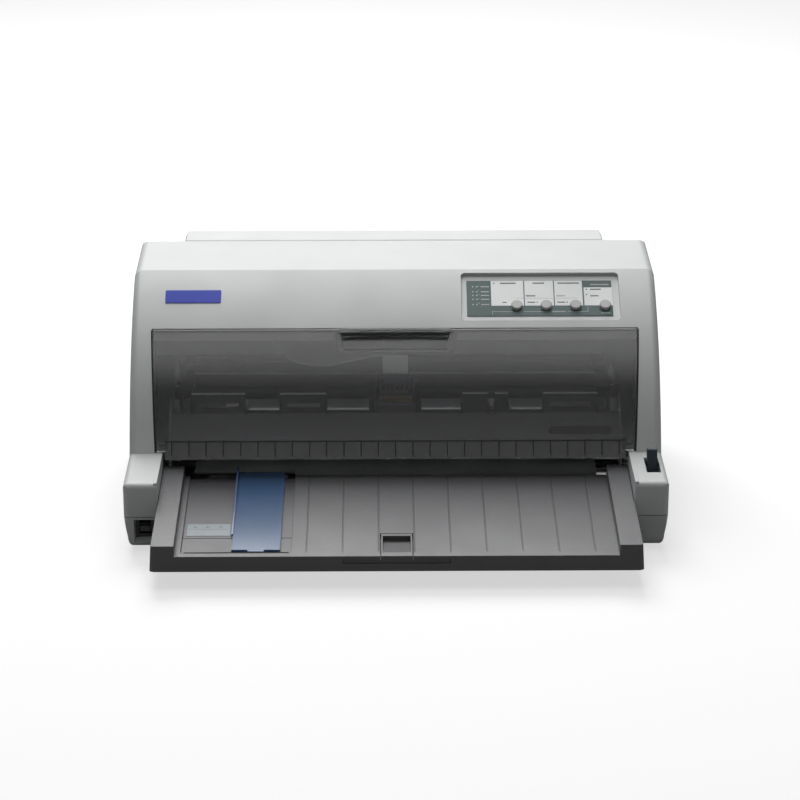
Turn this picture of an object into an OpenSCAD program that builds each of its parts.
// Wide flatbed dot matrix printer: X across, Y to the back, Z up, millimetres.
// The origin is on the table, below the middle of the whole printer.

/* [Case] */
// Width of the case
case_w = 480; // [476:1:496]
// Depth from the tray's lip to the rear cover
case_d = 370; // [368:1:380]
// Height to the rear cover's top edge
case_h = 210; // [206:1:216]
// Wall of the mouldings
wall = 3; // [2.5:0.1:3.4]
// Radius of the side edges along the curved front
edge_r = 7; // [6.5:0.1:7.4]
// Radius of the deck's side edges
deck_edge_r = 8; // [7.8:0.1:9]
// Radius of the cheeks' edges
cheek_edge_r = 5; // [4:0.1:6]
// Height of the seam between base and upper case
seam_h = 34; // [32:0.5:36]
// Height of the rubber feet
foot_h = 4; // [3:0.5:5]
// Gap round covers and panels
panel_gap = 0.8; // [0.5:0.1:1]
// Depth of the tray in front of the cheeks
tray_reach = 80; // [76:1:84]
// Height of the cheeks' front edge
cheek_h = 65; // [63:0.5:68]

/* [Front curve] */
// Radius of the curved front
front_r = 247; // [245:1:250]
// Angle of the curve where the deck begins
crease_phi = 62; // [61:0.5:63]
// Distance from the tray's lip to the crease
crease_reach = 267; // [265:1:269]
// Fall of the deck from the rear cover to the crease
deck_fall = 3.7; // [3:0.1:5]

/* [Front cover] */
// Thickness of the smoke cover
cover_t = 2.5; // [2:0.1:3]
// Drop from the cheeks' front edge to the cover's lower edge
cover_drop = 3.8; // [3.5:0.1:4.5]
// Angle of the curve at the cover's top edge
cover_phi1 = 46.2; // [45.5:0.1:46.6]
// Distance from the cover's top corners to the case's sides
cover_inset = 19.5; // [18:0.5:21]
// How far the cover narrows to its lower edge
cover_taper = 5.5; // [4:0.5:7]
// Radius of the hinge pins
hinge_r = 2; // [1.5:0.1:2.4]
// Width of the finger grip
grip_w = 102; // [90:1:110]

/* [Rear cover] */
// Depth of the rear cover
lid_d = 23; // [22:0.5:25]
// Rise of the rear cover over the deck
lid_rise = 3.3; // [2.5:0.1:4]
// Thickness of the rear cover
lid_t = 2.5; // [2:0.1:3]
// Distance from the rear cover's skirt to the case's sides
lid_inset = 41; // [40:0.5:44]
// Height of the rear cover's lower edge
lid_low = 118; // [112:1:124]

/* [Tray] */
// Slope of the tray
tray_tilt = 5; // [4.5:0.1:5.2]
// Height of the tray's lip
lip_h = 30; // [29:0.5:31]
// Depth of the lip's front face
lip_drop = 14; // [13:0.5:15]
// Length of the tray's surface
tray_l = 154; // [150:1:156]
// Height of the side rails over the surface
rail_h = 9.7; // [8:0.1:11]
// Distance from the side rails' inner faces to the case's sides
rail_inset = 49.5; // [48:0.5:52]
// Pitch of the lines along the tray
groove_pitch = 31; // [29:0.5:31]
// Width of the edge guide
guide_w = 42; // [38:1:44]
// Height of the edge guide's fin
fin_h = 6.5; // [5:0.5:8]

/* [Panel] */
// Width of the panel's recess
panel_w = 145; // [140:1:150]
// Distance from the recess to the case's right side
panel_inset = 34; // [32:1:36]
// Radius of the round buttons
button_r = 5.2; // [4.5:0.1:5.5]
// Distance between buttons
button_pitch = 27; // [25:0.5:28]
// Travel of a button
button_travel = 1; // [0.8:0.1:1.2]

/* [Mechanism] */
// Height of the paper path over the table
paper_h = 46; // [45:0.5:47]
// Distance from the side frames to the case's sides
frame_inset = 35.5; // [34:0.5:36]
// Thickness of the side frames
frame_t = 1.5; // [1.2:0.1:1.8]
// Module of the gear teeth
gear_m = 1.5; // [1.45:0.01:1.52]
// Face width of the gears
gear_w = 5; // [4:0.5:5.5]
// Radius of the feed rollers
roller_r = 9.5; // [9:0.1:10]
// Radius of the pinch rollers
pinch_r = 4; // [3.5:0.1:4.5]
// Radius of the carriage shaft
shaft_r = 6; // [5:0.5:6]
// Height of the carriage shaft over the paper
shaft_lift = 42; // [41:0.5:44]
// Radius of the belt pulleys
pulley_r = 7; // [6:0.5:7]
// Radial clearance of running shafts
run_fit = 0.05; // [0.03:0.01:0.08]
// Clearance between moving pieces
slide_fit = 0.3; // [0.3:0.05:0.4]

/* [Hidden] */
$fn = 48;
half = case_w / 2;
front_y = -case_d / 2;
back_y = case_d / 2;
cheek_y = front_y + tray_reach;
lid_stand = 3;
rear_y = back_y - lid_stand;
deck_y = back_y - lid_d;
deck_h = case_h - lid_rise;
crease_y = front_y + crease_reach;
crease_h = deck_h - deck_fall;
deck_tilt = atan2(deck_fall, deck_y - crease_y);
arc_y = crease_y + front_r * cos(crease_phi);
arc_z = crease_h - front_r * sin(crease_phi);
cover_hw = half - cover_inset;
cover_phi0 = asin((cheek_h - cover_drop - arc_z) / front_r);
lid_hw = half - lid_inset;
rail_in = half - rail_inset;
platform_fall = 1.5;
platform_h = cheek_h + platform_fall;
floor_h = foot_h + wall;
boss_r = 5;
boss_inset = 14;
boss_ys = [cheek_y + 60, rear_y - 14];
screw_r = 1.9;

// Mechanism, placed from the tray's lip
frame_x = half - frame_inset;
feed_y = front_y + 199;
roller_teeth = 20;
idler_teeth = 28;
idler2_teeth = 24;
pinion_teeth = 14;
print_y = feed_y + gear_m * (roller_teeth + idler_teeth) / 2;
feed2_y = feed_y + gear_m * (roller_teeth + idler_teeth);
idler2_y = feed2_y + gear_m * (roller_teeth + idler2_teeth) / 2;
tractor_y = feed2_y + gear_m * (roller_teeth + idler2_teeth);
axle_h = paper_h - roller_r;
pinch_h = paper_h + slide_fit + pinch_r;
axle_r = 4;
pinch_axle_r = 1.5;
gear_x = frame_x + frame_t + 2.5;
pinion_dir = 200;
pinion_d = gear_m * (roller_teeth + pinion_teeth) / 2;
pinion_y = feed_y + pinion_d * cos(pinion_dir);
pinion_h = axle_h + pinion_d * sin(pinion_dir);
chassis_h = floor_h + 5;
chassis_t = 1.5;
frame_low = chassis_h + chassis_t;
frame_front = feed_y - 34;
frame_back = tractor_y + 14;
back_wall_y = feed2_y + 42;
shaft_y = print_y + 16;
shaft_h = paper_h + shaft_lift;
belt_w = 6;
belt_t = 1.2;
belt_h = paper_h + 16;
pulley_x = frame_x - 18;
belt_pin_r = 2.5;
rail_y = print_y - 26;
rail_top = paper_h + 16;
guide_top = paper_h - 0.5;
guide_t = 2;
path_hw = frame_x - 22.5;
platen_hw = 5;

// Front cover
hinge_y = arc_y - front_r * cos(cover_phi0) + 8;
hinge_h = arc_z + front_r * sin(cover_phi0) + 11;
cover_low_h = arc_z + front_r * sin(cover_phi0);
cover_top_h = arc_z + front_r * sin(cover_phi1);
channel_hw = half - 30;
tray_hw = channel_hw - panel_gap;
ear_x = channel_hw - 2.5;
lug_x = cover_hw - cover_taper + 1;
return_d = 10;
step_z = platform_h + 1.5;
corner_swing = norm([arc_y - sqrt(pow(front_r, 2) - pow(step_z - arc_z, 2)) - hinge_y, step_z - hinge_h]);
ear_t = 3;
fold_t = 2.2;
fold_d = 9;
band_pitch = 15.5;
flange_gap = 0.5;

// Rear cover
lid_axis_r = 2.8;
lid_pin_r = 1.4;
lid_axis_y = deck_y + lid_axis_r + 1;
lid_axis_h = deck_h + 0.4 - lid_axis_r;

// Tray frame: along the slope from the lip's top edge
slot_front = 8;
slot_d = 9.5;
vent_h0 = 60;
vent_h1 = 110;
vent_pitch = 7;
tray_end = front_y + tray_l * cos(tray_tilt);
tray_end_h = lip_h + tray_l * sin(tray_tilt);
tray_ribs = [40.5 - rail_in, -75, 75, rail_in - 40.5];
recess_x0 = 5 - rail_in;
recess_x1 = recess_x0 + 95;
recess_d = 2.8;
guide_rest = recess_x1 - 9.5;
guide_plate_t = recess_d - 2 * slide_fit;
groove_x0 = recess_x1 + 13;
groove_count = 9;
ext_w = 91;
ext_tab_w = 27;
ext_tab_l = 41;
ext_plate_t = 3;
ext_plate_l = 96;
scoop_d = 5;
tray_t = 3.4;

// Panel frame: on the recess's floor
panel_x1 = half - panel_inset;
panel_x0 = panel_x1 - panel_w;
panel_phi0 = 48.3;
panel_phi1 = 60.9;
panel_low = [-cos(panel_phi0), sin(panel_phi0)] * (front_r - 1) + [arc_y, arc_z];
panel_high = [-cos(panel_phi1), sin(panel_phi1)] * (front_r - 3.5) + [arc_y, arc_z];
panel_tilt = atan2(panel_high[1] - panel_low[1], panel_high[0] - panel_low[0]);
panel_l = norm(panel_high - panel_low);
overlay_t = 0.6;
panel_corner = 4;
overlay_margin = 5;
button_v = 16.5;
button_h = 3;
board_drop = 9;
board_t = 1.6;

// Power switch and lever
switch_x = 9 - half;
switch_w = 18;
switch_h0 = 7;
switch_h1 = 31;
switch_depth = 9;
lever_x = half - 16;
lever_w = 9;
lever_y = cheek_y + 40;
lever_h = 44;
lever_lean = 14;
lever_pin_r = 3;

// ---- Helpers ----

// An outline drawn in (Y, Z), extruded from x0 to x1
module across(x0, x1) {
    translate([x0, 0, 0]) rotate([90, 0, 90]) linear_extrude(x1 - x0) children();
}

// An outline drawn in (X, Z), extruded from y0 to y1
module deep(y0, y1) {
    translate([0, y1, 0]) rotate([90, 0, 0]) linear_extrude(y1 - y0) children();
}

// A block between two corners
module block(a, b) {
    translate(a) cube(b - a);
}

// The children, and their mirror image on the left
module both_sides() {
    children();
    mirror([1, 0, 0]) children();
}

// A cylinder along X
module axle(x0, x1, y, z, r) {
    translate([x0, y, z]) rotate([0, 90, 0]) cylinder(r = r, h = x1 - x0);
}

// A rectangle below the X axis, centred, with rounded top corners
module round_top(w, h, r) {
    translate([-w / 2, -h]) square([w, h - r]);
    translate([r - w / 2, -h]) square([w - 2 * r, h]);
    for (s = [-1, 1]) translate([s * (w / 2 - r), -r]) circle(r);
}

// A block between two corners, with rounded upright edges
module rounded_block(a, b, r) {
    translate([0, 0, a[2]]) linear_extrude(b[2] - a[2]) union() {
        translate([a[0] + r, a[1]]) square([b[0] - a[0] - 2 * r, b[1] - a[1]]);
        translate([a[0], a[1] + r]) square([b[0] - a[0], b[1] - a[1] - 2 * r]);
        for (x = [a[0] + r, b[0] - r], y = [a[1] + r, b[1] - r]) translate([x, y]) circle(r);
    }
}

// A (radius, X) outline swept round the front curve's centre line
module front_sweep(phi0, phi1) {
    translate([0, arc_y, arc_z]) rotate([0, 90, 0]) rotate([0, 0, 270 - phi1])
        rotate_extrude(angle = phi1 - phi0, $fn = 180) children();
}

// A curved slab between two radii of the front curve
module front_slab(r0, r1, hw, phi0, phi1) {
    front_sweep(phi0, phi1) translate([r0, -hw]) square([r1 - r0, 2 * hw]);
}

module on_tray() {
    translate([0, front_y, lip_h]) rotate([tray_tilt, 0, 0]) children();
}

module on_panel() {
    translate([0, panel_low[0], panel_low[1]]) rotate([panel_tilt, 0, 0]) children();
}

// ---- Gears ----

function involute(a) = tan(a) - a * PI / 180;
function tooth_half(n, r) =
    let (pitch = gear_m * n / 2, base = pitch * cos(20), rr = max(r, base))
    ((gear_m * PI / 2 - 0.24) / 2 / pitch + involute(20) - involute(acos(base / rr))) * 180 / PI;
function flank(n) =
    let (pitch = gear_m * n / 2, root = pitch - 1.15 * gear_m, tip = pitch + 0.8 * gear_m)
    [root, max(root + 0.2, pitch * cos(20)), pitch, (pitch + tip) / 2, tip];

// Turn of a gear that meshes with one already placed: dir points from that one to this one
function mesh_turn(turn, n_from, n_to, dir) =
    dir + 180 + (dir - turn) * n_from / n_to + 180 / n_to;

idler_turn = mesh_turn(0, roller_teeth, idler_teeth, 0);
idler2_turn = mesh_turn(0, roller_teeth, idler2_teeth, 0);
pinion_turn = mesh_turn(0, roller_teeth, pinion_teeth, pinion_dir);

module gear_outline(n) {
    polygon([for (i = [0 : n - 1])
        each concat(
            [for (r = flank(n)) let (a = i * 360 / n - tooth_half(n, r)) r * [cos(a), sin(a)]],
            [for (k = [4 : -1 : 0])
                let (r = flank(n)[k], a = i * 360 / n + tooth_half(n, r)) r * [cos(a), sin(a)]])]);
}

// A spur gear on an X axis with a hub towards the frame
module gear(n, y, z, turn, bore) {
    difference() {
        translate([0, y, z]) union() {
            across(gear_x, gear_x + gear_w) rotate(turn) gear_outline(n);
            axle(gear_x - 1.5, gear_x + 0.5, 0, 0, bore + 2.5);
        }
        axle(gear_x - 2, gear_x + gear_w + 1, y, z, bore);
        if (n > 22) {
            for (a = [0 : 60 : 300])
                axle(gear_x - 2, gear_x + gear_w + 1, y + 12 * cos(a), z + 12 * sin(a), 2.6);
        }
    }
}

// ---- Case ----

module housing_body(inset) {
    hw = half - inset;
    intersection() {
        front_sweep(-20, 110) translate([front_r - inset, 0]) rotate(-90)
            round_top(2 * hw, 200, edge_r - inset);
        translate([0, crease_y, crease_h]) rotate([deck_tilt, 0, 0]) translate([0, 0, -inset])
            deep(-250, 250) round_top(2 * hw, 260, deck_edge_r - inset);
        across(-hw, hw) polygon([[cheek_y + 10, seam_h - inset], [cheek_y + 10, case_h + 60],
            [deck_y - inset, case_h + 60], [deck_y - inset, deck_h], [rear_y - inset, deck_h - 17],
            [rear_y - inset, seam_h - inset]]);
    }
}

module cheek_block(inset) {
    hw = half - inset;
    r = cheek_edge_r - inset;
    y0 = cheek_y + inset;
    y1 = cheek_y + 100;
    intersection() {
        translate([0, y0, 0]) rotate([0, 0, 180]) linear_extrude(100) round_top(2 * hw, 120, r);
        translate([0, cheek_y + cheek_edge_r, cheek_h - inset]) rotate([atan2(platform_fall, 70), 0, 0])
            deep(-20, 120) round_top(2 * hw, 60, r);
        across(-hw, hw) union() {
            translate([y0, seam_h - inset]) square([y1 - y0, cheek_h - r - inset - seam_h + inset]);
            translate([y0 + r, seam_h - inset]) square([y1 - y0 - r, 60]);
            translate([y0 + r, cheek_h - inset - r]) circle(r);
        }
    }
}

module cover_outline(gap) {
    w0 = cover_hw - cover_taper + gap;
    w1 = cover_hw + gap;
    low = channel_hw - 2.5 + gap;
    step_h = platform_h + 1.5 - gap;
    polygon([[-low, cover_low_h - 30], [low, cover_low_h - 30], [low, step_h], [w0, step_h],
        [w1, cover_top_h + 2 * gap], [-w1, cover_top_h + 2 * gap], [-w0, step_h], [-low, step_h]]);
}

module boss_places() {
    both_sides() for (y = boss_ys) translate([half - boss_inset, y, 0]) children();
}

module upper_case() color([0.80, 0.81, 0.81]) difference() {
    union() {
        difference() {
            union() {
                housing_body(0);
                cheek_block(0);
            }
            housing_body(wall);
            cheek_block(wall);
        }
        // Walls beside the tray
        both_sides()
            block([channel_hw, cheek_y + 1, seam_h], [channel_hw + wall, hinge_y - 12, cheek_h + 0.4]);
        // Return wall round the cover's opening, which holds the hinge pins
        intersection() {
            housing_body(1);
            difference() {
                deep(hinge_y - 9, crease_y - 20) opening_border();
                deep(cheek_y, crease_y) cover_outline(flange_gap);
                front_slab(60, front_r - return_d, half, -20, 90);
            }
        }
        // Hinge ears
        intersection() {
            housing_body(1);
            both_sides()
                block([lug_x, hinge_y - 8, cover_low_h - 6], [lug_x + 5, hinge_y + 10, hinge_h + 8]);
        }
        // Tub behind the panel
        intersection() {
            housing_body(1);
            on_panel() block([panel_x0 - 4, -4, -2.5], [panel_x1 + 4, panel_l + 4, 10]);
        }
        // Wall behind the ribbon, which closes the view to the back
        intersection() {
            housing_body(1);
            block([-half, back_wall_y, paper_h + 58], [half, back_wall_y + 2, case_h]);
        }
        // Lugs for the rear cover's pins
        intersection() {
            housing_body(1);
            both_sides()
                block([lid_hw + panel_gap, deck_y - 2, lid_axis_h - 5],
                    [lid_hw + panel_gap + 5, lid_axis_y + 4, deck_h + 5]);
        }
        // Screw bosses with ribs to the side walls
        boss_places() translate([0, 0, seam_h]) cylinder(r = boss_r, h = 22);
        both_sides() for (y = boss_ys)
            block([half - boss_inset, y - 1, seam_h], [half - wall + 0.5, y + 1, seam_h + 22]);
    }
    // Front opening and paper channel
    intersection() {
        front_slab(front_r - 40, front_r + 20, half, 0, cover_phi1 + 0.25);
        deep(cheek_y - 20, crease_y) cover_outline(flange_gap);
    }
    block([-channel_hw, cheek_y - 20, seam_h - 10], [channel_hw, hinge_y + 6, platform_h + 12]);
    // Panel recess
    on_panel() rounded_block([panel_x0, 0, 0], [panel_x1, panel_l, 20], panel_corner);
    for (i = [0 : 3]) on_panel() translate([button_x(i), button_v, -10])
        cylinder(r = button_r - 1.2 + slide_fit, h = 20);
    // Rear cover's opening, paper entry and sockets
    block([-lid_hw - panel_gap, lid_axis_y - lid_axis_r - panel_gap, lid_low - panel_gap],
        [lid_hw + panel_gap, back_y + 10, case_h + 10]);
    block([-path_hw - 3, rear_y - 10, paper_h - 4], [path_hw + 3, back_y, lid_low]);
    block([inlet_x - 11, rear_y - 10, inlet_h - 14], [inlet_x + 11, back_y, inlet_h + 14]);
    both_sides() axle(lid_hw - 2, lid_hw + 9, lid_axis_y, lid_axis_h, lid_pin_r + run_fit);
    both_sides() axle(lug_x - 2, lug_x + 8, hinge_y, hinge_h, hinge_r + run_fit);
    // Room for the front cover's lower corners as they swing down
    both_sides() axle(channel_hw - 1, lug_x, hinge_y, hinge_h, corner_swing + flange_gap);
    // Lever slot
    block([lever_x - 1.8, lever_y - 17, cheek_h - 8], [lever_x + lever_w + 1.8, lever_y + 17, case_h]);
    // Vent slots in the right side wall and behind the power supply
    for (i = [0 : 13]) block([half - 10, 40 + i * vent_pitch, vent_h0 + 10],
        [half + 10, 43 + i * vent_pitch, vent_h1 + 10]);
    for (i = [0 : 7]) block([-half - 10, 60 + i * supply_pitch, vent_h0],
        [10 - half, 64 + i * supply_pitch, vent_h1]);
    boss_places() translate([0, 0, seam_h - 1]) cylinder(r = screw_r, h = 19);
}

border_w = 4;
module opening_border() {
    polygon([[-cover_hw - border_w, cover_low_h - 20], [cover_hw + border_w, cover_low_h - 20],
        [cover_hw + border_w, cover_top_h + 5], [-cover_hw - border_w, cover_top_h + 5]]);
}

function button_x(i) = panel_x1 - 13.5 - (3 - i) * button_pitch;

// Lower outline of the tub, with its rounded bottom edge; end is its half-length
function tub_side(inset) =
    [for (a = [0 : 15 : 90]) [3 + 5 * (1 - cos(a)) + inset,
        foot_h + 10 - 10 * sin(a) + inset * sin(a)]];

module tub_outline(x0, x1, inset, top) {
    side = tub_side(inset);
    n = len(side);
    polygon(concat([[x0 + inset, top]], [for (p = side) [x0 + p[0], p[1]]],
        [for (i = [n - 1 : -1 : 0]) [x1 - side[i][0], side[i][1]]], [[x1 - inset, top]]));
}

module tub(inset, top) {
    intersection() {
        deep(cheek_y - 5, rear_y + 5) tub_outline(-half, half, inset, top);
        across(-half, half) tub_outline(cheek_y, rear_y, inset, top);
        translate([0, cheek_y + inset, 0]) rotate([0, 0, 180]) linear_extrude(top)
            round_top(case_w - 2 * inset, rear_y - cheek_y - 2 * inset, cheek_edge_r - inset);
    }
}

module base_case() color([0.78, 0.79, 0.79]) difference() {
    union() {
        difference() {
            tub(0, seam_h);
            tub(wall, seam_h + 1);
        }
        intersection() {
            tub(0, seam_h);
            union() {
                // Walls beside the tray
                both_sides()
                    block([channel_hw, cheek_y, foot_h], [channel_hw + wall, frame_front - 2, seam_h]);
                // Bosses and ribs
                boss_places() translate([0, 0, foot_h]) cylinder(r = boss_r, h = seam_h - foot_h);
                both_sides() for (y = boss_ys)
                    block([half - boss_inset, y - 1, foot_h], [half, y + 1, seam_h]);
                // Pads under the chassis plate
                for (s = [-1, 1], y = [frame_front + 12, print_y, tractor_y])
                    translate([s * (frame_x - 20), y, foot_h]) cylinder(r = 6, h = chassis_h - foot_h);
                // Pocket round the power switch
                block([switch_x - wall, cheek_y, foot_h],
                    [switch_x + switch_w + wall, cheek_y + switch_depth + wall, switch_h1 + 2]);
            }
        }
        // Rests under the tray
        for (x = [tray_ribs[0], tray_ribs[3]], y = [cheek_y + 16, cheek_y + 56])
            translate([x, y, foot_h]) cylinder(r = 5, h = lip_h - lip_drop - foot_h);
        // Lever's bearing
        block([lever_x - 4, lever_y - 8, foot_h + 2], [lever_x - 1.5, lever_y + 8, lever_h + 6]);
        axle(lever_x - 2, lever_x + lever_w + 1, lever_y, lever_h, lever_pin_r);
    }
    // Front edge below the tray
    block([-channel_hw, cheek_y - 5, lip_h - lip_drop - 0.5], [channel_hw, cheek_y + 6, seam_h + 5]);
    // Shadow line along the seam
    difference() {
        block([-half - 5, cheek_y - 5, seam_h - 0.8], [half + 5, rear_y + 5, seam_h + 1]);
        tub(1.2, seam_h + 2);
    }
    // Switch pocket with a sloping floor
    across(switch_x, switch_x + switch_w) polygon([[cheek_y - 5, switch_h0 - 3],
        [cheek_y + switch_depth, switch_h0 + 5], [cheek_y + switch_depth, switch_h1],
        [cheek_y - 5, switch_h1]]);
    block([switch_x + 2.5, cheek_y, switch_h0 + 6.5],
        [switch_x + switch_w - 2.5, cheek_y + 20, switch_h1 - 1.5]);
    block([port_x - port_hw, rear_y - 10, port_h - 8], [port_x + port_hw, back_y, port_h + 8]);
    block([port_x + 52, rear_y - 10, port_h - 6.5], [port_x + 66, back_y, port_h + 6.5]);
    boss_places() union() {
        cylinder(r = screw_r + 0.4, h = seam_h + 1);
        cylinder(r = 3.6, h = foot_h + 8);
    }
    // Air slots in the floor
    for (i = [-6 : 6]) block([i * 12 - 2, 100, 0], [i * 12 + 2, 140, floor_h + 1]);
}

foot_x = half - 40;
foot_y0 = cheek_y + 22;
foot_y1 = rear_y - 22;
module rubber_feet() color([0.12, 0.12, 0.12]) {
    for (s = [-1, 1], y = [foot_y0, foot_y1]) translate([s * foot_x, y, 0])
        cylinder(r = 9, h = foot_h);
}

module case_screws() color([0.62, 0.62, 0.64]) {
    boss_places() union() {
        translate([0, 0, foot_h + 8]) mirror([0, 0, 1]) cylinder(r = 3.3, h = 2.5);
        translate([0, 0, foot_h + 7]) cylinder(r = screw_r, h = seam_h + 8 - foot_h);
    }
}

// ---- Chassis ----

module chassis_plate() color([0.68, 0.69, 0.70]) {
    difference() {
        block([-frame_x - frame_t, frame_front, chassis_h], [frame_x + frame_t, frame_back, frame_low]);
        for (s = [-1, 1]) block([s * 60 - 40, print_y - 18, 0], [s * 60 + 40, print_y + 18, 50]);
        for (x = [-1, 1] * 90) translate([x, tractor_y, 0]) cylinder(r = 8, h = 50);
    }
}

module side_frame_outline() {
    difference() {
        union() {
            polygon([[frame_front, frame_low], [frame_back, frame_low], [frame_back, paper_h + 12],
                [feed2_y + 42, paper_h + 30], [feed2_y + 38, shaft_h + 10], [shaft_y, shaft_h + 20],
                [shaft_y - 24, shaft_h + 16], [feed_y - 4, paper_h + 40], [frame_front, paper_h - 6]]);
            translate([shaft_y, shaft_h]) circle(16);
        }
        for (y = [feed_y, feed2_y, tractor_y]) translate([y, axle_h]) circle(axle_r + run_fit);
        for (y = [feed_y, feed2_y]) translate([y, pinch_h]) circle(pinch_axle_r + run_fit);
        translate([pinion_y, pinion_h]) circle(7);
        translate([print_y - 4, paper_h + 22]) square([8, 12]);
    }
}

module side_frame() {
    across(frame_x, frame_x + frame_t) side_frame_outline();
    // Foot flange on the chassis plate
    block([frame_x - 12, frame_front + 4, frame_low], [frame_x, frame_front + 18, frame_low + 1.5]);
    block([frame_x - 12, frame_back - 18, frame_low], [frame_x, frame_back - 4, frame_low + 1.5]);
}

module left_side_frame() color([0.70, 0.71, 0.72]) scale([-1, 1, 1]) side_frame();

stud_r = 3;
module right_side_frame() color([0.70, 0.71, 0.72]) {
    side_frame();
    // Studs for the two idler gears
    for (y = [print_y, idler2_y]) axle(frame_x + 0.2, gear_x + gear_w, y, axle_h, stud_r);
    // Bracket and pin of the belt's idler
    block([pulley_x - 8, shaft_y - 8, belt_h - 4.2], [frame_x + 0.2, shaft_y + 8, belt_h - 2.7]);
    translate([pulley_x, shaft_y, belt_h - 3]) cylinder(r = belt_pin_r, h = belt_w + 5);
}

module carriage_shaft() color([0.75, 0.76, 0.78])
    axle(-frame_x, frame_x, shaft_y, shaft_h, shaft_r);

module carriage_rail() color([0.62, 0.63, 0.65]) {
    block([-frame_x, rail_y, rail_top - 2], [frame_x, rail_y + 9, rail_top]);
    block([-frame_x, rail_y, rail_top - 7], [frame_x, rail_y + 1.5, rail_top]);
}

module platen_bar() color([0.30, 0.31, 0.32]) {
    block([-frame_x, print_y - platen_hw, guide_top - 3.8],
        [frame_x, print_y + platen_hw, paper_h - 0.2]);
}

// Bed of the paper path, with windows for the rollers
module lower_paper_guide() color([0.16, 0.16, 0.17]) {
    y0 = tray_end + 2;
    difference() {
        union() {
            across(-path_hw, path_hw) polygon([[y0, tray_end_h - guide_t], [y0, tray_end_h],
                [feed_y - 14, guide_top], [feed2_y + 22, guide_top],
                [feed2_y + 22, guide_top - guide_t], [feed_y - 14, guide_top - guide_t]]);
            // Ribs that carry the bed on the frames
            for (y = [feed_y + 16, feed2_y + 14])
                block([-frame_x, y, guide_top - 6], [frame_x, y + 2, guide_top - 1]);
        }
        for (y = [feed_y, feed2_y], x = roller_places())
            block([x - roller_l / 2 - 1.5, y - roller_r - 1.5, 0],
                [x + roller_l / 2 + 1.5, y + roller_r + 1.5, guide_top + 1]);
        block([-path_hw - 1, print_y - platen_hw - 0.5, 0],
            [path_hw + 1, print_y + platen_hw + 0.5, guide_top + 1]);
        // Room for the tail of the edge guide
        block([recess_x0, y0 - 1, 0], [recess_x1, tray_end + 9, guide_top + 1]);
    }
}

roller_l = 44;
roller_pitch = (2 * path_hw - roller_l - 20) / 5;
function roller_places() = [for (i = [-2.5 : 1 : 2.5]) i * roller_pitch];

// Dark sloping plate behind the cover, with raised tabs over the paper path
tab_spans = [[18.5 - frame_x, 67.5 - frame_x], [-105, -63], [61, 85], [91, 103],
    [frame_x - 69.5, frame_x - 19.5]];
module front_inner_guide() color([0.15, 0.16, 0.16]) {
    y0 = feed_y - 24;
    h0 = paper_h + 20;
    across(-frame_x, frame_x) polygon([[y0, h0], [y0, h0 + 2.2], [feed_y - 1, paper_h + 41],
        [feed_y + 2, paper_h + 41], [feed_y + 2, paper_h + 39.4], [feed_y, paper_h + 38.8]]);
    for (s = tab_spans) difference() {
        across(s[0], s[1]) polygon([[feed_y - 1, paper_h + 39.5], [feed_y + 1, paper_h + 39.5],
            [feed_y + 5, paper_h + 58], [feed_y + 3, paper_h + 58]]);
        if (s[1] - s[0] > 30)
            block([s[0] + 6, feed_y - 14, paper_h + 46], [s[1] - 6, feed_y + 26, paper_h + 50]);
    }
    for (s = tab_spans, x = s) block([x - 0.8, feed_y - 2, paper_h + 39],
        [x + 0.8, feed_y + 6, paper_h + 52]);
}

// ---- Tray ----

module tray_body() {
    intersection() {
        union() {
            across(-half, half) polygon([[front_y, lip_h - lip_drop], [front_y, lip_h],
                [tray_end, tray_end_h], [tray_end, lip_h - lip_drop]]);
            both_sides() across(rail_in, half) polygon([
                [front_y, lip_h - lip_drop], [front_y, lip_h + rail_h],
                [tray_end, tray_end_h + rail_h], [tray_end, lip_h - lip_drop]]);
        }
        deep(front_y - 1, cheek_y + 90) polygon([[-tray_hw - 2.6, lip_h - lip_drop],
            [tray_hw + 2.6, lip_h - lip_drop], [tray_hw, lip_h + 24], [-tray_hw, lip_h + 24]]);
        translate([0, front_y, 0]) rotate([0, 0, 180]) linear_extrude(100)
            round_top(2 * tray_hw + 6, tray_l + 20, 5);
    }
}

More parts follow.
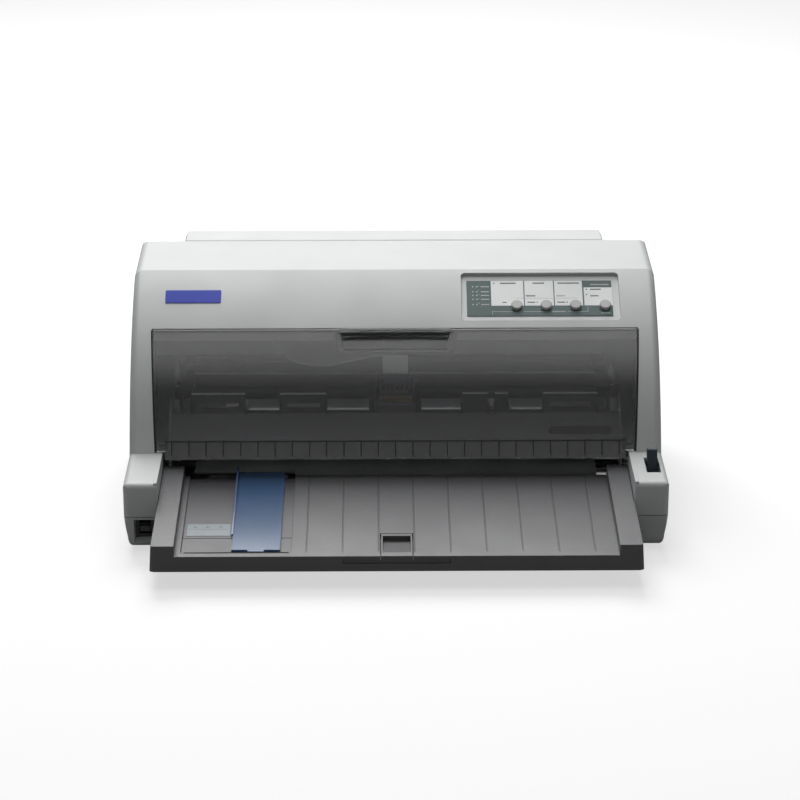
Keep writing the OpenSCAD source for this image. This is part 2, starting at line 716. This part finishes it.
module front_tray() color([0.34, 0.34, 0.35]) difference() {
    union() {
        difference() {
            tray_body();
            // Room for the cheeks
            both_sides() block([tray_hw, cheek_y - panel_gap, 0], [half, cheek_y + 100, 100]);
            // Hollow underside below the surface and inside the rails
            on_tray() block([-rail_in - 2, wall, -60], [rail_in + 2, tray_l - wall, -tray_t]);
            both_sides() on_tray()
                block([rail_in + wall, wall + 3, -60], [tray_hw - wall, tray_l - wall, rail_h - wall]);
        }
        // Ribs under the surface, and the extension's runners
        intersection() {
            tray_body();
            union() {
                // Trough that closes the edge guide's slot
                on_tray() block([recess_x0 + 1, slot_front - 1, -slot_d - 1.5],
                    [recess_x1, slot_front + 6, -tray_t + 0.1]);
                for (x = tray_ribs) across(x - 1, x + 1) polygon([[front_y + 1, lip_h - lip_drop],
                    [front_y + 1, lip_h - tray_t], [tray_end, tray_end_h - tray_t],
                    [tray_end, lip_h - lip_drop]]);
                both_sides() on_tray() union() {
                    block([ext_w / 2 + slide_fit, wall, -tray_t - ext_plate_t - 3],
                        [ext_w / 2 + 3, tray_l - 3, -tray_t + 0.1]);
                    block([ext_w / 2 - 4, wall, -tray_t - ext_plate_t - 3],
                        [ext_w / 2 + 3, tray_l - 3, -tray_t - ext_plate_t - 2 * slide_fit]);
                }
            }
        }
    }
    // Lines along the paper path
    for (i = [0 : groove_count - 1]) on_tray()
        block([groove_x0 + i * groove_pitch - 0.5, slot_front, -0.6],
            [groove_x0 + i * groove_pitch + 0.5, tray_l - 4, 5]);
    // Recess and slot for the edge guide
    on_tray() block([recess_x0, slot_front, -recess_d], [recess_x1, tray_l + 5, 5]);
    on_tray() block([recess_x0 + 3, slot_front + 1, -slot_d], [recess_x1 - 2, slot_front + 4, 5]);
    for (v = [39, 146]) on_tray()
        block([recess_x0, v - 0.4, -recess_d - 0.4], [recess_x1, v + 0.4, 5]);
    // Tab and strip of the pull-out extension
    on_tray() block([-ext_tab_w / 2 - panel_gap, -5, -tray_t - 1],
        [ext_tab_w / 2 + panel_gap, ext_tab_l + panel_gap, 5]);
    on_tray() block([-ext_w / 2 - slide_fit, -5, -tray_t - ext_plate_t - 2 * slide_fit],
        [ext_w / 2 + slide_fit, wall + 3, -tray_t + 0.1]);
}

module tray_extension() color([0.36, 0.36, 0.37]) {
    difference() {
        on_tray() union() {
            translate([0, 0, -tray_t - slide_fit - ext_plate_t])
                block([-ext_w / 2, 0.2, 0], [ext_w / 2, ext_plate_l, ext_plate_t]);
            block([-ext_tab_w / 2, 0.2, -tray_t - 0.5], [ext_tab_w / 2, ext_tab_l, 0]);
        }
        // Finger scoop, deepest at its far end
        on_tray() across(-ext_tab_w / 2 + 1.6, ext_tab_w / 2 - 1.6) polygon([[ext_tab_l - 34, 0.01],
            [ext_tab_l - 4, -scoop_d], [ext_tab_l - 4, 5], [ext_tab_l - 34, 5]]);
        // Nothing stands in front of the lip's upright face
        block([-ext_w, front_y - 20, 0], [ext_w, front_y, 100]);
    }
}

scale_v0 = 43;
scale_v1 = 65;
module scale_strip() color([0.72, 0.78, 0.86]) on_tray() block([recess_x0 + 3, scale_v0, -recess_d],
    [guide_rest - guide_w - 2.5, scale_v1, -recess_d + slide_fit]);

// Sliding stop for the paper's edge
module edge_guide() color([0.26, 0.38, 0.52]) on_tray() union() {
    x1 = guide_rest;
    x0 = guide_rest - guide_w;
    z0 = slide_fit * 2 - recess_d;
    block([x0, slot_front + 4.5, z0], [x1, tray_l + 6, z0 + guide_plate_t]);
    across(x0 - 1.2, x0 + 0.4) polygon([[40, z0], [40, z0 + guide_plate_t + 0.6],
        [tray_l - 2, fin_h], [tray_l + 6, fin_h], [tray_l + 6, z0]]);
    // Hook through the tray's slot
    block([x0 + 14, slot_front + 1 + slide_fit, -8],
        [x1 - 14, slot_front + 4 - slide_fit, z0 + guide_plate_t]);
    block([x0 + 14, slot_front + 3, z0], [x1 - 14, slot_front + 6, z0 + guide_plate_t]);
}

// ---- Panel ----

module panel_overlay() color([0.36, 0.42, 0.42]) on_panel() difference() {
    block([panel_x0 + overlay_margin, overlay_margin, 0],
        [panel_x1 - overlay_margin - 1.5, panel_l - overlay_margin - 2, overlay_t]);
    for (i = [0 : 3]) translate([button_x(i), button_v, -1]) cylinder(r = button_r + slide_fit, h = 5);
    lens_places() translate([0, 0, -1]) cylinder(r = lens_r, h = 5);
}

lens_r = 0.9;
module lens_places() for (i = [0 : 4]) translate([panel_x0 + 16, 20 + i * 5, 0]) children();

module indicator_lenses() color([0.35, 0.75, 0.45]) on_panel()
    lens_places() cylinder(r = lens_r, h = overlay_t + 0.3);

module panel_button(i) color([0.78, 0.78, 0.77]) on_panel() translate([button_x(i), button_v, 0]) {
    stem_r = button_r - 1.2;
    rotate_extrude() polygon([[0, 3.2 - board_drop], [stem_r, 3.2 - board_drop],
        [stem_r, button_travel + 0.2], [button_r, button_travel + 0.2],
        [button_r, button_h + 0.4], [button_r - 0.6, button_h + 1], [0, button_h + 1]]);
}

module button_1() panel_button(0);
module button_2() panel_button(1);
module button_3() panel_button(2);
module button_4() panel_button(3);

board_v0 = 9;
board_v1 = 48;
module control_board() color([0.16, 0.36, 0.22]) on_panel() {
    translate([0, 0, -board_drop - board_t])
        block([panel_x0 + 4, board_v0, 0], [panel_x1 - 4, board_v1, board_t]);
    // Posts from the case
    for (x = [panel_x0 + 7, panel_x1 - 7], y = [board_v0 + 6, board_v1 - 4])
        translate([x, y, -board_drop])
            cylinder(r = 2, h = board_drop - 2.5);
    for (i = [0 : 3]) translate([button_x(i), button_v, -board_drop]) cylinder(r = 2.6, h = 2);
}

// ---- Electrical pieces ----

module switch_housing() color([0.08, 0.08, 0.09]) {
    y0 = cheek_y + switch_depth;
    difference() {
        union() {
            block([switch_x + 2.5, y0, switch_h0 + 6.5],
                [switch_x + switch_w - 2.5, y0 + 18, switch_h1 - 1.5]);
            block([switch_x + 1, y0 - 1.2, switch_h0 + 5.3],
                [switch_x + switch_w - 1, y0, switch_h1 - 0.3]);
        }
        block([switch_x + 4, y0 - 2, switch_h0 + 8], [switch_x + switch_w - 4, y0 + 12, switch_h1 - 3]);
        axle(switch_x + 2, switch_x + switch_w - 2, y0 + 3, rocker_h, rocker_pin_r + run_fit);
    }
}

rocker_h = (switch_h0 + switch_h1 + 5) / 2;
rocker_pin_r = 1.2;
module power_rocker() color([0.05, 0.05, 0.06]) {
    y0 = cheek_y + switch_depth;
    hh = (switch_h1 - switch_h0 - 11) / 2 - 1.6;
    across(switch_x + 4.4, switch_x + switch_w - 4.4) polygon([[y0 + 3, rocker_h - hh],
        [y0 - 0.6, rocker_h - hh + 0.3], [y0 + 0.6, rocker_h], [y0 - 3.6, rocker_h + hh - 0.6],
        [y0 - 2.4, rocker_h + hh], [y0 + 5, rocker_h + hh - 1.5], [y0 + 6, rocker_h]]);
    axle(switch_x + 3, switch_x + switch_w - 3, y0 + 3, rocker_h, rocker_pin_r);
}

main_x0 = -60;
main_x1 = 130;
main_h = floor_h + 2;
module main_board() color([0.14, 0.34, 0.2]) {
    y0 = cheek_y + 8;
    y1 = frame_front - 4;
    top = main_h + board_t;
    block([main_x0, y0, main_h], [main_x1, y1, top]);
    for (x = [main_x0 + 6, main_x1 - 6], y = [y0 + 6, y1 - 6]) translate([x, y, floor_h])
        cylinder(r = 3, h = main_h - floor_h);
    // Chips and a plug
    for (i = [0 : 3]) block([i * 36 - 44, y0 + 16, top], [i * 36 - 22, y0 + 30, top + 2]);
    block([-20, y0 + 38, top], [40, y0 + 44, top + 3.4]);
}

supply_w = 18;
supply_l = 84;
supply_pitch = 9;
module power_supply() color([0.66, 0.67, 0.68]) {
    x0 = 13 - half;
    difference() {
        block([x0, print_y + 10, floor_h], [x0 + supply_w, rear_y - 24, floor_h + supply_l]);
        for (i = [0 : 7]) block([x0 - 1, print_y + 20 + i * supply_pitch, floor_h + supply_l - 34],
            [x0 + supply_w + 1, print_y + 24 + i * supply_pitch, floor_h + supply_l - 10]);
    }
}

inlet_x = 22 - half;
inlet_h = 77;
module ac_inlet() color([0.07, 0.07, 0.08]) {
    difference() {
        union() {
            block([inlet_x - 11, rear_y - 18, inlet_h - 14], [inlet_x + 11, rear_y, inlet_h + 14]);
            block([inlet_x - 13, rear_y, inlet_h - 16], [inlet_x + 13, rear_y + 1.5, inlet_h + 16]);
        }
        block([inlet_x - 8, rear_y - 15, inlet_h - 11], [inlet_x + 8, rear_y + 5, inlet_h + 11]);
    }
    for (p = [[-3, 0], [3, -6], [3, 6]]) block([inlet_x + p[0] - 1, rear_y - 15, inlet_h + p[1] - 2],
        [inlet_x + p[0] + 1, rear_y - 3, inlet_h + p[1] + 2]);
}

port_x = 60;
port_h = 20;
port_hw = 39;
module interface_ports() color([0.60, 0.61, 0.62]) {
    // Wide parallel socket with its two wire bails' lugs, and the square serial socket
    difference() {
        union() {
            block([port_x - port_hw, rear_y - 14, port_h - 8], [port_x + port_hw, rear_y - 1, port_h + 8]);
            block([port_x + 52, rear_y - 14, port_h - 6.5], [port_x + 66, rear_y, port_h + 6.5]);
            block([port_x - 30, rear_y - 1, port_h - 6], [port_x + 30, rear_y + 2, port_h + 6]);
        }
        block([port_x - 27, rear_y - 8, port_h - 4], [port_x + 27, rear_y + 5, port_h + 4]);
        block([port_x + 54.5, rear_y - 10, port_h - 4.5], [port_x + 63.5, rear_y + 5, port_h + 4.5]);
    }
    block([port_x - 25, rear_y - 8, port_h - 1.2], [port_x + 25, rear_y + 1, port_h + 1.2]);
    block([port_x + 57, rear_y - 10, port_h - 2], [port_x + 61, rear_y - 2, port_h + 2]);
    // Board that carries them
    block([port_x - 42, rear_y - 40, port_h - 9.6], [port_x + 70, rear_y - 8, port_h - 8]);
    for (x = [port_x - 36, port_x + 62]) translate([x, rear_y - 34, floor_h])
        cylinder(r = 3, h = port_h - 9.6 - floor_h);
}

// ---- Motors and belt ----

motor_l = 28;
module carriage_motor() color([0.55, 0.56, 0.58]) translate([-pulley_x, shaft_y, frame_low]) {
    cylinder(r = 14, h = motor_l);
    translate([0, 0, motor_l]) cylinder(r = 5, h = 2);
    translate([0, 0, motor_l]) cylinder(r = belt_pin_r, h = belt_h + belt_w - frame_low - motor_l + 1);
}

module timing_belt() color([0.09, 0.09, 0.1]) difference() {
    translate([0, shaft_y, belt_h]) linear_extrude(belt_w) belt_outline(pulley_r + belt_t);
    translate([0, shaft_y, belt_h - 1]) linear_extrude(belt_w + 2) belt_outline(pulley_r + run_fit);
}

module belt_outline(r) {
    translate([-pulley_x, -r]) square([2 * pulley_x, 2 * r]);
    for (s = [-1, 1]) translate([s * pulley_x, 0]) circle(r);
}

rim_t = 1;
rim_w = 1.6;
rim_gap = 0.2;
module pulley(bore) {
    difference() {
        union() {
            cylinder(r = pulley_r, h = belt_w);
            translate([0, 0, -rim_gap - rim_t]) cylinder(r = pulley_r + rim_w, h = rim_t);
            translate([0, 0, belt_w + rim_gap]) cylinder(r = pulley_r + rim_w, h = rim_t);
            translate([0, 0, -rim_gap - rim_t])
                cylinder(r = pulley_r - rim_w, h = belt_w + 2 * (rim_gap + rim_t));
        }
        translate([0, 0, -5]) cylinder(r = bore, h = belt_w + 10);
    }
}

module drive_pulley() color([0.68, 0.64, 0.5])
    translate([-pulley_x, shaft_y, belt_h]) pulley(belt_pin_r + run_fit);

module idler_pulley() color([0.68, 0.64, 0.5])
    translate([pulley_x, shaft_y, belt_h]) pulley(belt_pin_r + run_fit);

module feed_motor() color([0.55, 0.56, 0.58]) {
    axle(frame_x - 28, frame_x, pinion_y, pinion_h, 12.5);
    axle(frame_x - 2, gear_x + gear_w + 1, pinion_y, pinion_h, 2);
}

module motor_pinion() color([0.72, 0.68, 0.52])
    gear(pinion_teeth, pinion_y, pinion_h, pinion_turn, 2 + run_fit);

// ---- Rollers and gears ----

module feed_roller(y) {
    axle(-frame_x - frame_t - 1, gear_x + gear_w, y, axle_h, axle_r);
    for (x = roller_places()) axle(x - roller_l / 2, x + roller_l / 2, y, axle_h, roller_r);
}

module front_feed_roller() color([0.2, 0.2, 0.2]) feed_roller(feed_y);
module rear_feed_roller() color([0.2, 0.2, 0.2]) feed_roller(feed2_y);
module front_roller_gear() color([0.82, 0.81, 0.76]) gear(roller_teeth, feed_y, axle_h, 0, axle_r);
module rear_roller_gear() color([0.82, 0.81, 0.76]) gear(roller_teeth, feed2_y, axle_h, 0, axle_r);
module feed_idler_gear() color([0.80, 0.79, 0.74])
    gear(idler_teeth, print_y, axle_h, idler_turn, stud_r + run_fit);
module tractor_idler_gear() color([0.80, 0.79, 0.74])
    gear(idler2_teeth, idler2_y, axle_h, idler2_turn, stud_r + run_fit);
module tractor_gear() color([0.82, 0.81, 0.76]) gear(roller_teeth, tractor_y, axle_h, 0, axle_r);

module pinch_roller(y) {
    axle(-frame_x - frame_t - 1, frame_x + frame_t + 1, y, pinch_h, pinch_axle_r);
    for (x = roller_places()) axle(x - 15, x + 15, y, pinch_h, pinch_r);
}

module front_pinch_roller() color([0.45, 0.46, 0.47]) pinch_roller(feed_y);
module rear_pinch_roller() color([0.45, 0.46, 0.47]) pinch_roller(feed2_y);

// ---- Tractors ----

tractor_w = 18;
left_tractor_x = 54.5 - frame_x;
right_tractor_x = frame_x - 104.5;
shaft_flat = 3;
rod_y = tractor_y - 14;
rod_h = axle_h - 9;
rod_r = 3;
sprocket_r = 7.5;
flap_h = paper_h + 1.3;
flap_pin_r = 0.8;

module tractor_shaft() color([0.7, 0.71, 0.73]) {
    block([-frame_x + 1, tractor_y - shaft_flat, axle_h - shaft_flat],
        [frame_x - 1, tractor_y + shaft_flat, axle_h + shaft_flat]);
    axle(-frame_x - frame_t - 1, 2 - frame_x, tractor_y, axle_h, axle_r);
    axle(frame_x - 2, gear_x + gear_w, tractor_y, axle_h, axle_r);
}

module tractor_rod() color([0.74, 0.75, 0.77]) axle(-frame_x, frame_x, rod_y, rod_h, rod_r);

// Frame of a tractor; out is 1 where its outer side is to the right, -1 to the left
module tractor_frame(x, out) {
    w = tractor_w / 2;
    difference() {
        union() {
            for (s = [-1, 1]) across(x + s * (w - 1) - 1, x + s * (w - 1) + 1) union() {
                translate([tractor_y - 22, axle_h - 14]) square([32, 20]);
                translate([tractor_y, axle_h]) circle(paper_h - 0.5 - axle_h);
            }
            block([x - w, tractor_y - 22, axle_h - 14], [x + w, tractor_y - 9.5, axle_h + 4]);
            // Two lugs that hold the flap's pins
            for (y = [-20.5, 5.5]) translate([x + out * (w + 1.5), tractor_y + y, 0])
                block([-1.5, 0, axle_h - 6], [1.5, 3, flap_h + 1.5]);
        }
        axle(x - 20, x + 20, tractor_y, axle_h, 5.4);
        axle(x - 20, x + 20, rod_y, rod_h, rod_r + run_fit);
        translate([x + out * (w + 1.5), tractor_y - 25, flap_h]) rotate([-90, 0, 0])
            cylinder(r = flap_pin_r + run_fit, h = 40);
    }
}

module left_tractor() color([0.2, 0.2, 0.22]) tractor_frame(left_tractor_x, -1);
module right_tractor() color([0.2, 0.2, 0.22]) tractor_frame(right_tractor_x, 1);

// Pin wheel with six paper pins, sliding on the square shaft
module sprocket(x) {
    w = tractor_w / 2 - 2.6;
    difference() {
        union() {
            axle(x - w, x + w, tractor_y, axle_h, sprocket_r);
            for (a = [0 : 60 : 300]) translate([x, tractor_y, axle_h]) rotate([a, 0, 0])
                cylinder(r = 1.7, h = sprocket_r + 1.7);
        }
        block([x - 20, tractor_y - shaft_flat - 0.15, axle_h - shaft_flat - 0.15],
            [x + 20, tractor_y + shaft_flat + 0.15, axle_h + shaft_flat + 0.15]);
    }
}

module left_sprocket() color([0.85, 0.84, 0.8]) sprocket(left_tractor_x);
module right_sprocket() color([0.85, 0.84, 0.8]) sprocket(right_tractor_x);

// Lid that holds the paper on the pins, hinged along the tractor's outer side
module flap(x, out) {
    w = tractor_w / 2;
    difference() {
        union() {
            translate([x - out * w + min(out, 0) * (2 * w + 1.5), 0, 0])
                block([0, tractor_y - 17, flap_h - 0.6], [2 * w + 1.5, tractor_y + 5, flap_h + 1.2]);
            translate([x + out * (w + 1.5), tractor_y - 17, flap_h]) rotate([-90, 0, 0])
                cylinder(r = 1.5, h = 22);
        }
        block([x - 3, tractor_y - 10, 0], [x + 3, tractor_y + 6, flap_h + 5]);
    }
    translate([x + out * (w + 1.5), tractor_y - 20, flap_h]) rotate([-90, 0, 0])
        cylinder(r = flap_pin_r, h = 28);
}

module left_flap() color([0.24, 0.24, 0.26]) flap(left_tractor_x, -1);
module right_flap() color([0.24, 0.24, 0.26]) flap(right_tractor_x, 1);

// ---- Carriage ----

carriage_hw = 24;
module carriage() color([0.17, 0.18, 0.19]) {
    difference() {
        union() {
            block([-carriage_hw, rail_y + 1.8, rail_top + slide_fit],
                [carriage_hw, shaft_y + 12, shaft_h - 6]);
            axle(-carriage_hw, carriage_hw, shaft_y, shaft_h, shaft_r + 5);
            both_sides() block([carriage_hw - 5, rail_y + 4, shaft_h - 8],
                [carriage_hw, shaft_y, shaft_h + 6]);
        }
        axle(-carriage_hw - 1, carriage_hw + 1, shaft_y, shaft_h, shaft_r + run_fit);
        // Well for the head
        block([-19, rail_y + 4, 0], [19, shaft_y - 11.5, 120]);
        // Channel for the belt
        block([-carriage_hw - 1, shaft_y - pulley_r - belt_t - 0.4, belt_h - 2],
            [carriage_hw + 1, shaft_y + pulley_r + belt_t + 0.4, belt_h + belt_w + 1]);
    }
    // Jaw on the belt's rear run
    block([-8, shaft_y - pulley_r + 0.7, belt_h - 1],
        [8, shaft_y + pulley_r - 0.4, belt_h + belt_w + 1.5]);
}

// Finned head with its nose over the platen
head_y0 = print_y - 21.5;
head_y1 = print_y + 4.3;
fin_pitch = 4.4;
module print_head() color([0.32, 0.31, 0.29]) {
    block([-19, head_y0, shaft_h - 16], [19, head_y1, shaft_h + 4]);
    // Cooling fins
    for (i = [-4 : 4]) block([i * fin_pitch - 0.9, head_y0 + 3, shaft_h + 3],
        [i * fin_pitch + 0.9, head_y1 - 2, shaft_h + 18]);
    block([-14, head_y0 + 3, shaft_h + 3], [14, head_y0 + 6, shaft_h + 14]);
    block([-9, head_y0 + 6, paper_h + 10], [9, head_y1 - 1, shaft_h - 15]);
    block([-4, print_y - 4, paper_h + 3.4], [4, print_y + 2.5, paper_h + 11]);
}

cable_w = 40;
function cable_h(x) = shaft_h + 34 + 6 * cos(x * 2.4) - 5 * sin(-x * 1.8);
module head_cable() color([0.62, 0.62, 0.62]) {
    xs = [for (x = [-16 : -6 : -112]) x];
    n = len(xs) - 1;
    deep(head_y0 + 8, head_y0 + 8 + cable_w) polygon(concat(
        [for (x = xs) [x, cable_h(x)]],
        [for (i = [n : -1 : 0]) [xs[i], cable_h(xs[i]) + 0.8]]));
    block([-17, head_y0 + 8, shaft_h + 18], [-16, head_y0 + 20, cable_h(-16) + 0.8]);
}

// ---- Ribbon ----

cart_y0 = shaft_y + 16;
cart_y1 = cart_y0 + 43;
cart_h0 = shaft_h - 4;
cart_h1 = shaft_h + 13.5;
ribbon_w = 12;
module ribbon_cartridge() color([0.13, 0.13, 0.14]) {
    difference() {
        block([-frame_x + 17.5, cart_y0, cart_h0], [frame_x - 17.5, cart_y1, cart_h1]);
        for (s = [-1, 1])
            block([s * 95 - 60, cart_y0 + 12, cart_h1 - 1], [s * 95 + 60, cart_y1 - 8, cart_h1 + 5]);
    }
    // Arms that lead the ribbon down past the head
    both_sides() difference() {
        union() {
            block([frame_x - 18, print_y - 8, shaft_h + shaft_r + 2],
                [frame_x - 5.5, cart_y0 + 20, cart_h1]);
            block([frame_x - 9, print_y - 8, paper_h + 1.5], [frame_x - 5.5, print_y + 8, cart_h1]);
        }
        block([frame_x - 17, print_y - 6, cart_h1 - 1], [frame_x - 10, cart_y0 + 10, cart_h1 + 1]);
    }
    // Knob's collar, and clips to the side frames
    both_sides()
        block([frame_x - 18, cart_y0 + 5, cart_h0 + 4], [frame_x, cart_y0 + 15, cart_h0 + 8]);
    translate([knob_x, knob_y, cart_h1 - 1]) difference() {
        cylinder(r = 4.2, h = 3);
        translate([0, 0, -1]) cylinder(r = knob_pin_r + run_fit, h = 5);
    }
    // The inked ribbon between the arms
    block([9 - frame_x, print_y - ribbon_w / 2, paper_h + 2.2],
        [frame_x - 9, print_y + ribbon_w / 2, paper_h + 2.5]);
}

knob_x = -150;
knob_y = cart_y0 + 22;
knob_pin_r = 2;
// Fluted knob that takes up slack ribbon
module ribbon_knob() color([0.2, 0.2, 0.22]) translate([knob_x, knob_y, cart_h1 + 2.3]) {
    difference() {
        cylinder(r = 9, h = 7);
        for (a = [0 : 30 : 330]) rotate(a) translate([9.6, 0, -1]) cylinder(r = 1.4, h = 9);
    }
    translate([0, 0, -2.8]) cylinder(r = knob_pin_r, h = 3);
}

// ---- Covers, switch lever ----

module front_cover() color([0.16, 0.16, 0.17, 0.62]) {
    pocket_r = front_r - 7;
    grip_hw = grip_w / 2;
    difference() {
        union() {
            intersection() {
                front_slab(front_r - cover_t, front_r, half, cover_phi0, cover_phi1);
                deep(cheek_y - 20, crease_y) cover_outline(0);
            }
            // Tub of the finger grip, and the lip over it
            front_slab(pocket_r - 2, front_r - 1, grip_hw + 2, cover_phi1 - 4.9, cover_phi1);
            front_slab(front_r - cover_t, front_r + 1.5, grip_hw, cover_phi1 - 0.9, cover_phi1);
            // Folded side edges
            intersection() {
                front_slab(front_r - fold_d, front_r - 0.5, half, cover_phi0 + 8, cover_phi1 - 0.3);
                both_sides() deep(cheek_y, crease_y) polygon([[cover_hw - cover_taper - fold_t, step_z],
                    [cover_hw - cover_taper, step_z], [cover_hw, cover_top_h],
                    [cover_hw - fold_t, cover_top_h]]);
            }
            // Line and ribs of the lower band
            front_slab(front_r - 1, front_r + 0.4, channel_hw - 2, cover_phi0 + 3.7, cover_phi0 + 3.9);
        }
        intersection() {
            front_slab(pocket_r, front_r + 5, grip_hw, cover_phi1 - 4.5, cover_phi1 - 0.9);
            deep(cheek_y, crease_y) polygon([[-grip_hw + 5, cover_top_h - 22],
                [grip_hw - 5, cover_top_h - 22], [grip_hw, cover_top_h + 5],
                [-grip_hw, cover_top_h + 5]]);
        }
        // Thin slot along the lip
        front_slab(front_r - 0.8, front_r + 5, grip_hw * 0.72, cover_phi1 - 0.6, cover_phi1 - 0.3);
        // Vertical lines in the lower band
        for (i = [-13 : 13]) intersection() {
            front_slab(front_r - 0.6, front_r + 2, half, cover_phi0 + 0.8, cover_phi0 + 3.7);
            block([i * band_pitch - 0.5, cheek_y, 0], [i * band_pitch + 0.5, crease_y, 100]);
        }
    }
    // Ears and hinge pins
    both_sides() {
        intersection() {
            across(ear_x - ear_t, ear_x) union() {
                translate([hinge_y, hinge_h]) circle(4.4);
                translate([hinge_y - 8, hinge_h - 3]) square([8, 12]);
            }
            front_slab(100, front_r - 1, half, 0, 60);
        }
        axle(ear_x - ear_t, lug_x + 4, hinge_y, hinge_h, hinge_r);
    }
}

module lid_outline(inset) {
    polygon([[lid_axis_y, lid_axis_h + lid_axis_r - inset], [back_y - inset, case_h - inset],
        [back_y - 1 - inset, lid_low + (inset > 0 ? -5 : 0)],
        [deck_y + 12, lid_low + (inset > 0 ? -5 : 0)], [lid_axis_y, lid_axis_h - lid_axis_r]]);
}

module rear_cover() color([0.84, 0.85, 0.85]) {
    intersection() {
        difference() {
            union() {
                across(-lid_hw, lid_hw) lid_outline(0);
                axle(-lid_hw, lid_hw, lid_axis_y, lid_axis_h, lid_axis_r);
            }
            difference() {
                across(-lid_hw + lid_t, lid_hw - lid_t) lid_outline(lid_t);
                axle(-lid_hw, lid_hw, lid_axis_y, lid_axis_h, lid_axis_r);
            }
            // Slots that let the paper lines read from outside
            for (i = [-5 : 5]) block([i * 34 - 12, back_y - 10, lid_low + 16],
                [i * 34 + 12, back_y + 5, lid_low + 20]);
        }
        // Sides drawn in above the deck
        deep(0, back_y + 5) polygon([[-lid_hw, 0], [lid_hw, 0], [lid_hw, deck_h - 2],
            [lid_hw - lid_rise, case_h + 1], [lid_rise - lid_hw, case_h + 1], [-lid_hw, deck_h - 2]]);
    }
    both_sides() axle(lid_hw - 1, lid_hw + 4, lid_axis_y, lid_axis_h, lid_pin_r);
}

// Lever that opens the friction rollers for tractor paper; at rest it leans back
module release_lever() color([0.10, 0.14, 0.22]) {
    difference() {
        translate([0, lever_y, lever_h]) rotate([-lever_lean, 0, 0]) union() {
            axle(lever_x, lever_x + lever_w, 0, 0, 7);
            across(lever_x, lever_x + lever_w) union() {
                polygon([[-4.5, 0], [4.5, 0], [3.2, 33], [-3.2, 33]]);
                translate([0, 33]) circle(3.2);
            }
        }
        axle(lever_x - 1, lever_x + lever_w + 1, lever_y, lever_h, lever_pin_r + run_fit);
    }
}

base_case();
upper_case();
rubber_feet();
case_screws();
chassis_plate();
left_side_frame();
right_side_frame();
front_tray();
scale_strip();
panel_overlay();
indicator_lenses();
control_board();
switch_housing();
main_board();
power_supply();
ac_inlet();
interface_ports();
platen_bar();
lower_paper_guide();
front_inner_guide();
carriage_shaft();
carriage_rail();
carriage_motor();
timing_belt();
feed_motor();
ribbon_cartridge();
ribbon_knob();
tractor_rod();
front_cover();
rear_cover();
edge_guide();
tray_extension();
button_1();
button_2();
button_3();
button_4();
power_rocker();
release_lever();
carriage();
print_head();
head_cable();
drive_pulley();
idler_pulley();
front_feed_roller();
front_roller_gear();
rear_feed_roller();
rear_roller_gear();
front_pinch_roller();
rear_pinch_roller();
feed_idler_gear();
tractor_idler_gear();
motor_pinion();
tractor_shaft();
tractor_gear();
left_tractor();
right_tractor();
left_sprocket();
right_sprocket();
left_flap();
right_flap();
